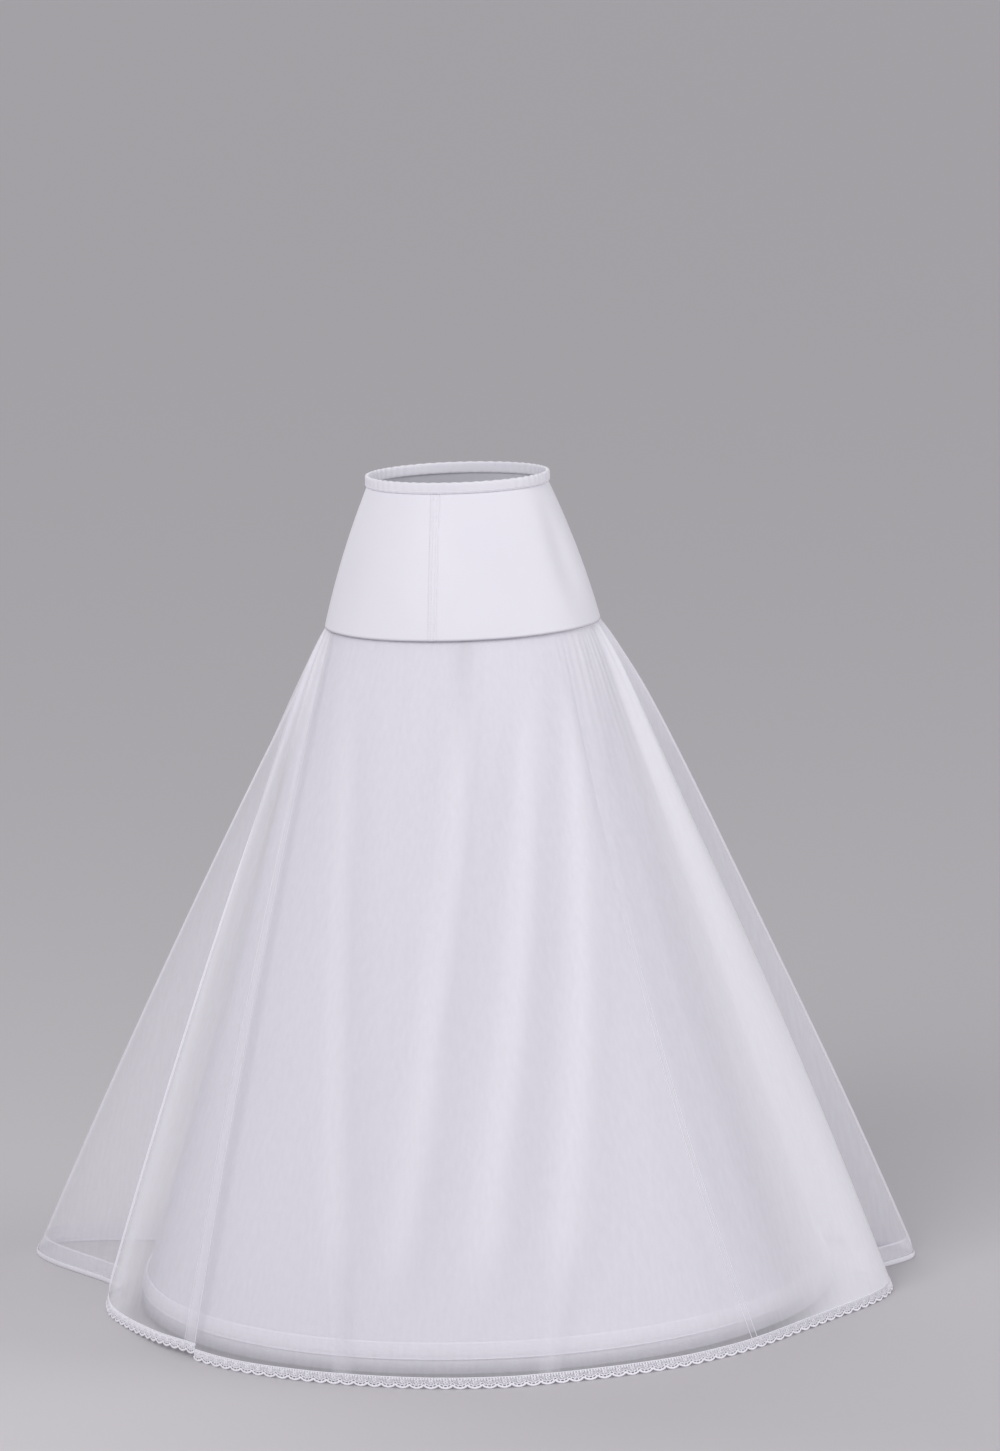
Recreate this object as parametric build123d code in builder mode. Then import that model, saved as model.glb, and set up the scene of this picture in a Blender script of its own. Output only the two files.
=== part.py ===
import os
from math import atan2, cos, degrees, exp, radians, sin

from build123d import *

# Sizes in millimetres and angles in degrees. The front faces -Y and the hem stands on Z = 0.
# Azimuths run from the front, over +X, to the back.
length = 1030.0
waist_width = 222.0
waist_depth = 190.0
hip_width = 338.0
hip_depth = 302.0
hip_round = 4.0
yoke_drop = 185.0
yoke_tuck = 4.0
yoke_seam_angle = -7.5

casing_height = 14.0
casing_depth = 4.4
elastic_height = 10.6
elastic_depth = 1.8

cloth = 1.0
seam_gap = 0.3
tuck_room = 2.4
lace_height = 14.0
binding_height = 7.0

hoop_diameter = 850.0
hoop_height = 39.0
lining_hem = 12.5
channel_height = 20.0
bone_width = 8.0
bone_depth = 1.6
bone_fit = 0.15
bone_split = 3.0
sleeve_wall = 0.5
sleeve_length = 40.0

# The skirt's seams, how far its top is turned and spread against its hem, and how far the right
# seam bows to the front above the hem.
lining_seam_angle = 47.0
left_seam_angle = -49.0
right_seam_angle = 48.5
left_valley_angle = -94.0
right_valley_angle = 92.5
top_turn_angle = -6.0
top_spread_angle = 16.0
seam_bow_angle = 12.5
bow_spread_angle = 20.0

# The net's gathers start small in the seam, are fullest a little below it and fade out.
gather_seat = 1.5
gather_depth = 13.0
gather_pitch_angle = 12.0
gather_start_angle = 66.0
gather_ease_angle = 10.0
front_gather_share = 0.3
full_share = 0.13
net_bulge = 12.0

# Soft folds of the front net, fullest half way down: azimuths of head and foot, height and spread.
drape_depth = 7.0
drape_shares = [
    (-27.0, -20.0, 0.8, 4.0),
    (6.0, -14.0, 1.0, 3.5),
    (22.0, -1.0, 0.9, 4.0),
    (35.0, 12.0, 1.0, 4.5),
]

# The net's hem as shares of the hoop radius: an even ring that clears the hoop, and on it
# soft front waves and folds. A fold is its azimuth, its height and its spread before and after.
ring_share = 1.066
wave_share = 0.006
wave_count = 9
left_fold_shares = [(-87.5, 0.05, 3.5, 15.0), (-115.0, 0.46, 9.0, 12.0), (-150.0, 0.075, 11.0, 9.0)]
right_fold_shares = [(86.5, 0.125, 16.0, 4.0), (103.5, 0.225, 6.5, 12.0), (142.0, 0.08, 11.0, 12.0)]
back_fold_shares = [(180.0, 0.012, 12.0, 12.0)]

# How finely each cloth is drawn, around and down.
waist_steps = 60
yoke_steps = 30
yoke_fall_shares = [0, 0.25, 0.6, 1]
lining_steps = 18
front_steps = 40
side_steps = 26
back_steps = 84
net_fall_shares = [0, 0.04, 0.09, 0.17, 0.3, 0.5, 0.74, 1]

yoke_bottom = length - yoke_drop
yoke_top = length - casing_height - seam_gap
skirt_top = yoke_bottom + yoke_tuck
hoop_radius = hoop_diameter / 2


def outward(azimuth):
    return Vector(sin(radians(azimuth)), -cos(radians(azimuth)))


def oval_point(azimuth, half_width, half_depth):
    """The point of an oval that faces an azimuth."""
    out = outward(azimuth)
    reach = Vector(out.X * half_width, out.Y * half_depth)
    return Vector(reach.X * half_width, reach.Y * half_depth) / reach.length


def turned(azimuth):
    return (azimuth + 180) % 360 - 180


# The yoke, from the waist to the hip.
def yoke_halves(height, inset):
    fall_share = (yoke_top - height) / (yoke_top - yoke_bottom)
    fullness = hip_round * 4 * fall_share * (1 - fall_share) - inset
    width = waist_width + (hip_width - waist_width) * fall_share
    depth = waist_depth + (hip_depth - waist_depth) * fall_share
    return width / 2 + fullness, depth / 2 + fullness


def yoke_point(azimuth, height):
    return oval_point(azimuth, *yoke_halves(height, 0))


# The net is tucked inside the yoke's edge and the lining inside the net. The lining hangs past the hoop,
# just inside its channel.
net_inset = cloth + tuck_room + gather_seat
net_halves = yoke_halves(skirt_top, net_inset)
lining_halves = yoke_halves(skirt_top, net_inset + cloth + seam_gap * 2)
lining_lean = atan2(hoop_radius - max(lining_halves), skirt_top - hoop_height)
lean_run = sin(lining_lean)
lean_rise = cos(lining_lean)
channel_cavity = bone_depth + (bone_fit + sleeve_wall + seam_gap) * 2
channel_depth = channel_cavity + cloth * 2
lining_radius = hoop_radius - (channel_depth / 2 + seam_gap) / lean_rise
lining_radius += (hoop_height - lining_hem) * lean_run / lean_rise


def lining_point(azimuth, height):
    fall_share = (skirt_top - height) / (skirt_top - lining_hem)
    top = oval_point(azimuth, *lining_halves)
    return top + (outward(azimuth) * lining_radius - top) * fall_share


def fold_share(azimuth, fold):
    centre, height, before, after = fold
    away = turned(azimuth - centre)
    spread = before if away < 0 else after
    return height * exp(-((away / spread) ** 2))


def hem_point(azimuth):
    front_share = exp(-((turned(azimuth) / lining_seam_angle) ** 4))
    share = ring_share + wave_share * front_share * cos(radians(azimuth * wave_count))
    for fold in left_fold_shares + right_fold_shares + back_fold_shares:
        share += fold_share(azimuth, fold)
    return outward(azimuth) * hoop_radius * share


def gather(azimuth, fall_share):
    away = abs(turned(azimuth))
    side_share = min(max((away - gather_start_angle) / gather_ease_angle, front_gather_share), 1)
    crest_share = (1 + cos(radians(away - gather_start_angle) * 360 / gather_pitch_angle)) / 2
    rise_share = fall_share / full_share * exp(1 - fall_share / full_share)
    return side_share * crest_share * (gather_seat + (gather_depth - gather_seat) * rise_share)


def drape_share(azimuth, fall_share):
    share = 0
    for head, foot, height, spread in drape_shares:
        away = turned(azimuth - head - (foot - head) * fall_share)
        share += height * exp(-((away / spread) ** 2))
    return share


def net_point(hem_azimuth, height):
    fall_share = (skirt_top - height) / skirt_top
    bow_share = exp(-((turned(hem_azimuth - right_seam_angle) / bow_spread_angle) ** 2))
    azimuth = hem_azimuth - seam_bow_angle * bow_share * (1 - fall_share**2)
    top_azimuth = azimuth + top_spread_angle * sin(radians(azimuth * 2)) + top_turn_angle
    top = oval_point(top_azimuth, *net_halves)
    straight = top + (hem_point(azimuth) - top) * fall_share
    swell_share = 4 * fall_share * (1 - fall_share)
    fullness = gather(top_azimuth, fall_share) + net_bulge * swell_share
    fullness += drape_depth * swell_share * drape_share(azimuth, fall_share)
    return straight + outward(azimuth) * fullness


def facets(rows):
    """Flat triangles between neighbouring rows of points."""
    faces = []
    for upper, lower in zip(rows, rows[1:]):
        for a, b, c, d in zip(upper, upper[1:], lower[1:], lower):
            faces.append(Face(Wire.make_polygon([a, b, c])))
            faces.append(Face(Wire.make_polygon([a, c, d])))
    return faces


def cloth_panel(point, first, last, steps, heights):
    """A sheet of cloth between two azimuths, half a seam gap short of each seam."""
    outer_rows = []
    inner_rows = []
    for height in heights:
        gap = degrees(seam_gap / 2 / point(first, height).length)
        span = last - first - gap * 2
        outer = []
        inner = []
        for step in range(steps + 1):
            azimuth = first + gap + span * step / steps
            along = point(azimuth + gap, height) - point(azimuth - gap, height)
            outer.append(point(azimuth, height) + Vector(0, 0, height))
            inner.append(outer[-1] + along.normalized().rotate(Axis.Z, 90) * cloth)
        outer_rows.append(outer)
        inner_rows.append(inner)
    faces = facets(outer_rows) + facets(inner_rows)
    for end in (0, -1):
        faces += facets([outer_rows[end], inner_rows[end]])
        faces += facets([[outer[end] for outer in outer_rows], [inner[end] for inner in inner_rows]])
    with BuildPart() as panel:
        add(Solid(Shell(faces)))
    return panel.part


def falling_heights(top, bottom, fall_shares):
    return [top + (bottom - top) * share for share in fall_shares]


def yoke_panel(first, last):
    heights = falling_heights(yoke_top, yoke_bottom, yoke_fall_shares)
    return cloth_panel(yoke_point, first, last, yoke_steps, heights)


def lining_gore(first, last):
    return cloth_panel(lining_point, first, last, lining_steps, [skirt_top, lining_hem])


def net_gore(first, last, steps, trim_height):
    heights = falling_heights(skirt_top, trim_height + seam_gap, net_fall_shares)
    return cloth_panel(net_point, first, last, steps, heights)


def hem_trim(first, last, steps, trim_height):
    return cloth_panel(net_point, first, last, steps, [trim_height, 0])


def waist_ring(bottom, height, inset, depth):
    """An even band round the waist, standing on its edge."""
    turns = [step * 360 / waist_steps for step in range(waist_steps)]
    with BuildPart() as ring:
        with BuildSketch(Plane.XY.offset(bottom)):
            for side_inset, mode in ((inset, Mode.ADD), (inset + depth, Mode.SUBTRACT)):
                halves = (waist_width / 2 - side_inset, waist_depth / 2 - side_inset)
                Polygon(*[oval_point(turn, *halves) for turn in turns], align=None, mode=mode)
        extrude(amount=height)
    return ring.part


def hoop_plane(azimuth):
    """The section of the hoop at an azimuth, with its Y along the lining's lean."""
    out = outward(azimuth)
    up = Vector(-out.X * lean_run, -out.Y * lean_run, lean_rise)
    across = Vector(out.X * lean_rise, out.Y * lean_rise, lean_run)
    centre = out * hoop_radius + Vector(0, 0, hoop_height)
    return Plane(origin=centre, x_dir=across, z_dir=across.cross(up))


# A strip folded round the elastic and closed on itself, centred on the yoke's upper edge.
casing_inset = cloth / 2 - casing_depth / 2
casing_bottom = length - casing_height
room_height = casing_height - cloth * 2
room_depth = casing_depth - cloth * 2
with BuildPart() as waist_casing:
    add(waist_ring(casing_bottom, casing_height, casing_inset, casing_depth))
    add(waist_ring(casing_bottom + cloth, room_height, casing_inset + cloth, room_depth), mode=Mode.SUBTRACT)

elastic_bottom = casing_bottom + casing_height / 2 - elastic_height / 2
waist_elastic = waist_ring(elastic_bottom, elastic_height, cloth / 2 - elastic_depth / 2, elastic_depth)

# A tape sewn to the lining, flat above and below the tunnel that holds the hoop and its sleeve.
tunnel_height = bone_width + (bone_fit + sleeve_wall + seam_gap) * 2
tape_back = -channel_depth / 2
tape_front = tape_back + cloth * 2
tape_top = channel_height / 2
upper_outline = [(channel_depth / 2, tunnel_height / 2), (tape_front, tape_top), (tape_back, tape_top)]
with BuildPart() as hoop_channel:
    with BuildSketch(hoop_plane(0)):
        Polygon(*upper_outline, *[(x, -y) for x, y in reversed(upper_outline)], align=None)
        Rectangle(channel_cavity, tunnel_height, mode=Mode.SUBTRACT)
    revolve(axis=Axis.Z)

split_angle = degrees(bone_split / hoop_radius)
with BuildPart() as hoop_bone:
    with BuildSketch(hoop_plane(180 + split_angle / 2)):
        Rectangle(bone_depth, bone_width)
    revolve(axis=Axis.Z, revolution_arc=360 - split_angle)

sleeve_angle = degrees(sleeve_length / hoop_radius)
with BuildPart() as hoop_sleeve:
    with BuildSketch(hoop_plane(180 - sleeve_angle / 2)):
        Rectangle(bone_depth + (bone_fit + sleeve_wall) * 2, bone_width + (bone_fit + sleeve_wall) * 2)
        Rectangle(bone_depth + bone_fit * 2, bone_width + bone_fit * 2, mode=Mode.SUBTRACT)
    revolve(axis=Axis.Z, revolution_arc=sleeve_angle)

front_cut = (left_seam_angle, right_seam_angle, front_steps)
left_cut = (left_valley_angle, left_seam_angle, side_steps)
right_cut = (right_seam_angle, right_valley_angle, side_steps)
back_cut = (right_valley_angle, left_valley_angle + 360, back_steps)

pieces = {
    "waist_casing": waist_casing.part,
    "waist_elastic": waist_elastic,
    "yoke_left_panel": yoke_panel(yoke_seam_angle - 180, yoke_seam_angle),
    "yoke_right_panel": yoke_panel(yoke_seam_angle, yoke_seam_angle + 180),
    "lining_front_gore": lining_gore(-lining_seam_angle, lining_seam_angle),
    "lining_left_gore": lining_gore(lining_seam_angle - 180, -lining_seam_angle),
    "lining_right_gore": lining_gore(lining_seam_angle, 180 - lining_seam_angle),
    "lining_back_gore": lining_gore(180 - lining_seam_angle, 180 + lining_seam_angle),
    "hoop_channel": hoop_channel.part,
    "hoop_bone": hoop_bone.part,
    "hoop_sleeve": hoop_sleeve.part,
    "net_front_gore": net_gore(*front_cut, lace_height),
    "net_left_gore": net_gore(*left_cut, lace_height),
    "net_right_gore": net_gore(*right_cut, lace_height),
    "net_back_gore": net_gore(*back_cut, binding_height),
    "lace_front": hem_trim(*front_cut, lace_height),
    "lace_left": hem_trim(*left_cut, lace_height),
    "lace_right": hem_trim(*right_cut, lace_height),
    "back_hem_binding": hem_trim(*back_cut, binding_height),
}

# The origin goes under the middle of the outline.
boxes = [piece.bounding_box() for piece in pieces.values()]
middle_x = (min(box.min.X for box in boxes) + max(box.max.X for box in boxes)) / 2
middle_y = (min(box.min.Y for box in boxes) + max(box.max.Y for box in boxes)) / 2

os.makedirs("parts", exist_ok=True)
for name, piece in pieces.items():
    centred = piece.moved(Location((-middle_x, -middle_y, 0)))
    centred.label = name
    export_step(centred, f"parts/{name}.step")
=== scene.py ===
import math
from bisect import bisect_left

import bmesh
import bpy
from mathutils import Matrix, Vector, noise


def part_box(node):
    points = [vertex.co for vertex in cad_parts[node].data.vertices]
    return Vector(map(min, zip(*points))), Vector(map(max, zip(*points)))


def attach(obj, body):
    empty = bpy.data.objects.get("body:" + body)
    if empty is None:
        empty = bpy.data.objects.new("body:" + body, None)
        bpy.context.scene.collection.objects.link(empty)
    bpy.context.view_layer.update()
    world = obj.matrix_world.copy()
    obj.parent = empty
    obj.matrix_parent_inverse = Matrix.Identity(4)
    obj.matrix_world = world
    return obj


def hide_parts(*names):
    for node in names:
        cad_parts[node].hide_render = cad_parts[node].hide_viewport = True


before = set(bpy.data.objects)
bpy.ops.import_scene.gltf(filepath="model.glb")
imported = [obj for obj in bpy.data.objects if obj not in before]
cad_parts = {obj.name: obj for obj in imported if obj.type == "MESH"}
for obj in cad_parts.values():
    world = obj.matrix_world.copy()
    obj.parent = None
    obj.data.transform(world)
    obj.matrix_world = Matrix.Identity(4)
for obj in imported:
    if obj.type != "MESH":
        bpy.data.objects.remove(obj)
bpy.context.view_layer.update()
scene = bpy.context.scene
mm = 0.001
print("frame loaded, nodes:", len(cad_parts))

# what the frame says of the waist, the yoke, the hoop and the hems
casingLow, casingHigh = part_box("waist_casing")
yokeLow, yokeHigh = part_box("yoke_left_panel")
liningLow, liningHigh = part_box("lining_front_gore")
channelLow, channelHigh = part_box("hoop_channel")
boneLow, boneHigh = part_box("hoop_bone")
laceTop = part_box("lace_front")[1].z
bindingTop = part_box("back_hem_binding")[1].z
axis = Vector(((casingLow.x + casingHigh.x) / 2, (casingLow.y + casingHigh.y) / 2, 0))
skirtTop = liningHigh.z
springReach = 2 * mm  # from the middle of the leaning spring to its outer edge
hoopRadius = (boneHigh.x - boneLow.x) / 2 - springReach

taperStart = 0.15  # how far a tapered thread has grown where it starts
stitchShares = (0.1, 0.4, 0.7)  # start, middle and end of a stitch, as shares of its pitch


# small helpers
def linear(hexColour):
    shares = [int(hexColour[place:place + 2], 16) / 255 for place in (1, 3, 5)]
    return [c / 12.92 if c <= 0.04045 else ((c + 0.055) / 1.055) ** 2.4 for c in shares] + [1]


# a number stands for a socket whose name others share: 6 and 7 are a mix's two colours
def addNode(tree, kind, settings, links):
    node = tree.nodes.new(kind)
    for key, value in settings.items():
        if isinstance(key, str) and hasattr(node, key):
            setattr(node, key, value)
        else:
            node.inputs[key].default_value = value
    for key, source in links.items():
        tree.links.new(source, node.inputs[key])
    return node


def newMaterial(name):
    material = bpy.data.materials.new(name)
    material.use_nodes = True
    material.node_tree.nodes.clear()
    return material, material.node_tree


def newPiece(name, bm, materials, closed):
    if closed:
        bmesh.ops.recalc_face_normals(bm, faces=bm.faces)
    mesh = bpy.data.meshes.new(name)
    bm.to_mesh(mesh)
    bm.free()
    for material in materials:
        mesh.materials.append(material)
    mesh.polygons.foreach_set("use_smooth", [True] * len(mesh.polygons))
    piece = bpy.data.objects.new(name, mesh)
    scene.collection.objects.link(piece)
    return piece


def settle(piece, node):
    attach(piece, "root")
    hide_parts(node)
    print(piece.name, "faces:", len(piece.data.polygons))


def smooth(share):
    share = min(max(share, 0), 1)
    return share * share * (3 - 2 * share)


def arch(share):
    return 4 * share * (1 - share)  # 1 in the middle, 0 at both ends


def hump(away, spread):
    return math.exp(-((away / spread) ** 2))


def waveScale(spacing):
    return math.pi / 10 / spacing  # at scale 1 the bands of a wave texture lie pi / 10 apart


def addGrid(bm, pointAt, columns, rows, slot=0, ring=False):
    across = columns if ring else columns + 1
    lines = [[bm.verts.new(pointAt(i / columns, j / rows)) for i in range(across)] for j in range(rows + 1)]
    for upper, lower in zip(lines, lines[1:]):
        for i in range(columns):
            k = (i + 1) % across
            bm.faces.new((upper[i], lower[i], lower[k], upper[k])).material_index = slot


def addThread(bm, path, halfWidth, halfDepth, sides, slot=0, ring=False, taper=0):
    count = len(path)
    turns = [2 * math.pi * k / sides for k in range(sides)]
    loops = []
    for i, (point, out) in enumerate(path):
        before = path[i - 1][0] if i or ring else point
        after = path[(i + 1) % count][0] if i < count - 1 or ring else point
        grown = smooth(taperStart + i / count / taper) if taper else 1
        wide = (after - before).cross(out).normalized() * halfWidth * grown
        deep = out * halfDepth * grown
        loops.append([bm.verts.new(point + wide * math.cos(t) + deep * math.sin(t)) for t in turns])
    pairs = list(zip(loops, loops[1:])) + ([(loops[-1], loops[0])] if ring else [])
    for a, b in pairs:
        for k in range(sides):
            n = (k + 1) % sides
            bm.faces.new((a[k], a[n], b[n], b[k])).material_index = slot
    if not ring:
        for loop in (loops[0], loops[-1]):
            bm.faces.new(loop).material_index = slot


# warp-knit nylon and elastane, finished smooth: even, with a soft broad gloss and faint courses
# the courses are 0.5 mm apart and drawn coarser to show
satinLook = {"colour": "#E8E6EE", "shade": "#E2E0E9", "course": 2.4 * mm, "cloud": 90 * mm}


def knittedSatin():
    material, tree = newMaterial("knitted_stretch_satin")
    place = addNode(tree, "ShaderNodeTexCoord", {}, {}).outputs["Object"]
    cloud = addNode(tree, "ShaderNodeTexNoise", {"Scale": 1 / satinLook["cloud"], "Detail": 3},
                    {"Vector": place})
    tint = addNode(tree, "ShaderNodeMix", {"data_type": "RGBA", 6: linear(satinLook["shade"]),
                                           7: linear(satinLook["colour"])}, {0: cloud.outputs["Fac"]})
    courses = addNode(tree, "ShaderNodeTexWave",
                      {"bands_direction": "Z", "Distortion": 0.6, "Scale": waveScale(satinLook["course"])},
                      {"Vector": place})
    ribs = addNode(tree, "ShaderNodeBump", {"Strength": 0.06, "Distance": 0.2 * mm},
                   {"Height": courses.outputs["Fac"]})
    cloth = addNode(tree, "ShaderNodeBsdfPrincipled",
                    {"Roughness": 0.5, "Specular IOR Level": 0.25, "Sheen Weight": 0.1,
                     "Sheen Roughness": 0.45},
                    {"Base Color": tint.outputs[2], "Normal": ribs.outputs["Normal"]})
    addNode(tree, "ShaderNodeOutputMaterial", {}, {"Surface": cloth.outputs[0]})
    return material


# polyester taffeta, plain woven and calendered: opaque white with a dry, slightly silvery face
# the threads are 0.3 mm apart and drawn coarser to show
taffetaLook = {"colour": "#E4E2EA", "shade": "#DFDDE6", "thread": 3 * mm, "cloud": 160 * mm}


def wovenTaffeta():
    material, tree = newMaterial("woven_taffeta")
    place = addNode(tree, "ShaderNodeTexCoord", {}, {}).outputs["Object"]
    cloud = addNode(tree, "ShaderNodeTexNoise", {"Scale": 1 / taffetaLook["cloud"], "Detail": 2},
                    {"Vector": place})
    tint = addNode(tree, "ShaderNodeMix", {"data_type": "RGBA", 6: linear(taffetaLook["shade"]),
                                           7: linear(taffetaLook["colour"])}, {0: cloud.outputs["Fac"]})
    weft = addNode(tree, "ShaderNodeTexWave",
                   {"bands_direction": "Z", "Distortion": 1.5, "Scale": waveScale(taffetaLook["thread"])},
                   {"Vector": place})
    weave = addNode(tree, "ShaderNodeBump", {"Strength": 0.06, "Distance": 0.2 * mm},
                    {"Height": weft.outputs["Fac"]})
    cloth = addNode(tree, "ShaderNodeBsdfPrincipled",
                    {"Roughness": 0.6, "Specular IOR Level": 0.3, "Sheen Weight": 0.15,
                     "Sheen Roughness": 0.5},
                    {"Base Color": tint.outputs[2], "Normal": weave.outputs["Normal"]})
    addNode(tree, "ShaderNodeOutputMaterial", {}, {"Surface": cloth.outputs[0]})
    return material


# soft nylon net, knitted in fine hexagons: a white veil that thickens where it lies double
# the cells are 1 mm wide and read as an even veil with faint streaks down the cloth
# single, turned and creased say how much of what lies behind the net it covers; the creased cover also
# serves as a painted highlight along the drape crests
netLook = {"colour": "#F4F2FA", "streak": (6 * mm, 90 * mm), "vary": 0.015, "single": 0.38, "turned": 0.85,
           "creasedAndLit": 0.16}


def softNet(name, cover):
    material, tree = newMaterial(name)
    place = addNode(tree, "ShaderNodeTexCoord", {}, {}).outputs["Object"]
    wide, tall = netLook["streak"]
    drawn = addNode(tree, "ShaderNodeMapping", {"Scale": (1 / wide, 1 / wide, 1 / tall)}, {"Vector": place})
    streaks = addNode(tree, "ShaderNodeTexNoise", {"Scale": 1, "Detail": 2}, {"Vector": drawn.outputs[0]})
    veil = addNode(tree, "ShaderNodeMapRange",
                   {"From Min": 0.3, "From Max": 0.7, "To Min": cover - netLook["vary"],
                    "To Max": cover + netLook["vary"]}, {"Value": streaks.outputs["Fac"]})
    # closeness adds cover where the cloth bunches; on the right side and along the drape crests the added
    # cover is also painted light, making the net whiter there
    bunchedAndLit = addNode(tree, "ShaderNodeAttribute", {"attribute_name": "closenessAndPaintedLight"}, {})
    dense = addNode(tree, "ShaderNodeMath", {"operation": "ADD", "use_clamp": True},
                    {0: veil.outputs[0], 1: bunchedAndLit.outputs["Fac"]})
    cloth = addNode(tree, "ShaderNodeBsdfPrincipled",
                    {"Base Color": linear(netLook["colour"]), "Roughness": 0.75, "Specular IOR Level": 0.2,
                     "Sheen Weight": 0.8, "Sheen Roughness": 0.4}, {"Alpha": dense.outputs[0]})
    addNode(tree, "ShaderNodeOutputMaterial", {}, {"Surface": cloth.outputs[0]})
    return material


# spun polyester thread and lace yarn: matt, white, slightly fuzzy
yarnLook = {"colour": "#F7F5FD", "fuzz": 2 * mm}


def spunYarn():
    material, tree = newMaterial("spun_polyester_yarn")
    place = addNode(tree, "ShaderNodeTexCoord", {}, {}).outputs["Object"]
    fuzz = addNode(tree, "ShaderNodeTexNoise", {"Scale": 1 / yarnLook["fuzz"], "Detail": 2},
                   {"Vector": place})
    twist = addNode(tree, "ShaderNodeBump", {"Strength": 0.2, "Distance": 0.2 * mm},
                    {"Height": fuzz.outputs["Fac"]})
    cloth = addNode(tree, "ShaderNodeBsdfPrincipled",
                    {"Base Color": linear(yarnLook["colour"]), "Roughness": 0.8, "Sheen Weight": 0.2},
                    {"Normal": twist.outputs["Normal"]})
    addNode(tree, "ShaderNodeOutputMaterial", {}, {"Surface": cloth.outputs[0]})
    return material


# woven cotton tape, pressed flat: drier than the lining it is sewn to
tapeLook = {"colour": "#EAE8F0", "shade": "#E3E1E9", "rib": 2 * mm}


def wovenTape():
    material, tree = newMaterial("woven_cotton_tape")
    place = addNode(tree, "ShaderNodeTexCoord", {}, {}).outputs["Object"]
    ribs = addNode(tree, "ShaderNodeTexWave",
                   {"bands_direction": "Z", "Distortion": 0.4, "Scale": waveScale(tapeLook["rib"])},
                   {"Vector": place})
    tint = addNode(tree, "ShaderNodeMix", {"data_type": "RGBA", 6: linear(tapeLook["shade"]),
                                           7: linear(tapeLook["colour"])}, {0: ribs.outputs["Fac"]})
    weave = addNode(tree, "ShaderNodeBump", {"Strength": 0.15, "Distance": 0.2 * mm},
                    {"Height": ribs.outputs["Fac"]})
    cloth = addNode(tree, "ShaderNodeBsdfPrincipled", {"Roughness": 0.8, "Specular IOR Level": 0.2},
                    {"Base Color": tint.outputs[2], "Normal": weave.outputs["Normal"]})
    addNode(tree, "ShaderNodeOutputMaterial", {}, {"Surface": cloth.outputs[0]})
    return material


satin = knittedSatin()
taffeta = wovenTaffeta()
net = softNet("soft_nylon_net", netLook["single"])
turnedNet = softNet("soft_nylon_net_turned", netLook["turned"])  # hems, seams and pressed edges
creasedAndLitNet = softNet("soft_nylon_net_creased_and_lit", netLook["creasedAndLit"])  # soft creases, and painted highlights along the front drape crests
yarn = spunYarn()
tape = wovenTape()
print("materials made:", len(bpy.data.materials))


# the cut, with the solids' formulas; the fine gathers, the seam's groove and the slack are added here
# angles are in degrees, azimuths from the front
yokeCut = {"waist": (111 * mm, 95 * mm), "hip": (169 * mm, 151 * mm), "round": 4 * mm, "seam": -7.5}
netCut = {"halves": (163.0 * mm, 145.2 * mm), "seamLeft": -49, "seamRight": 48.5, "valleyLeft": -94,
          "valleyRight": 92.5, "turn": -6, "spread": 16, "bow": 12.5, "bowSpread": 20, "bulge": 12 * mm,
          "ring": 1.066, "wave": 0.006, "waves": 9, "frontHalf": 47}
gathers = {"seat": 1.5 * mm, "depth": 10 * mm, "pitch": 12, "start": 66, "ease": 10, "front": 0.14,
           "full": 0.13}
folds = [(-87.5, 0.05, 3.5, 15), (-115, 0.46, 9, 12), (-150, 0.075, 11, 9), (86.5, 0.125, 16, 4),
         (103.5, 0.225, 6.5, 12), (142, 0.08, 11, 12), (180, 0.012, 12, 12)]  # azimuth, height, spreads
# soft drapes down the front: azimuth at the head and the foot, height, spread
drapes = [(-27, -20, 0.8, 4), (6, -14, 1, 3.5), (22, -1, 0.9, 4), (35, 12, 1, 4.5)]
drapeDepth = 7 * mm
# small pleats between the large ones
fineGathers = {"pitch": 3.4, "depth": 2.6 * mm, "full": 0.05, "startRight": 30, "startLeft": 55, "ease": 30,
               "uneven": 2, "often": 0.09, "place": (5.3, 1.7)}
seamGroove = {"depth": 4 * mm, "spread": 1.6, "start": 0.25, "end": 0.55}  # upper part of the right seam
slack = {"depth": 1.6 * mm, "across": 7, "down": 2.5, "ease": 0.2}  # uneven hang of the net
leftShort = {"lift": 6 * mm, "start": -76, "ease": 26}  # the left gore is sewn a little short at its seam
sideStep = 0.05  # to each side, to find which way the cloth faces


def outward(azimuth):
    return Vector((math.sin(math.radians(azimuth)), -math.cos(math.radians(azimuth)), 0))


def ovalPoint(azimuth, halfWidth, halfDepth):
    out = outward(azimuth)
    reach = Vector((out.x * halfWidth, out.y * halfDepth, 0))
    return Vector((reach.x * halfWidth, reach.y * halfDepth, 0)) / reach.length


def turned(azimuth):
    return (azimuth + 180) % 360 - 180


def hemRadius(azimuth):
    front = math.exp(-((turned(azimuth) / netCut["frontHalf"]) ** 4))
    share = netCut["ring"] + netCut["wave"] * front * math.cos(math.radians(azimuth * netCut["waves"]))
    for centre, height, before, after in folds:
        away = turned(azimuth - centre)
        share += height * hump(away, before if away < 0 else after)
    return hoopRadius * share


def pleat(azimuth, pitch):
    return (1 + math.cos(math.radians(azimuth * 360 / pitch))) / 2


def swell(fall, full):
    return fall / full * math.exp(1 - fall / full)  # grows to 1 at full, then fades out


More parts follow.
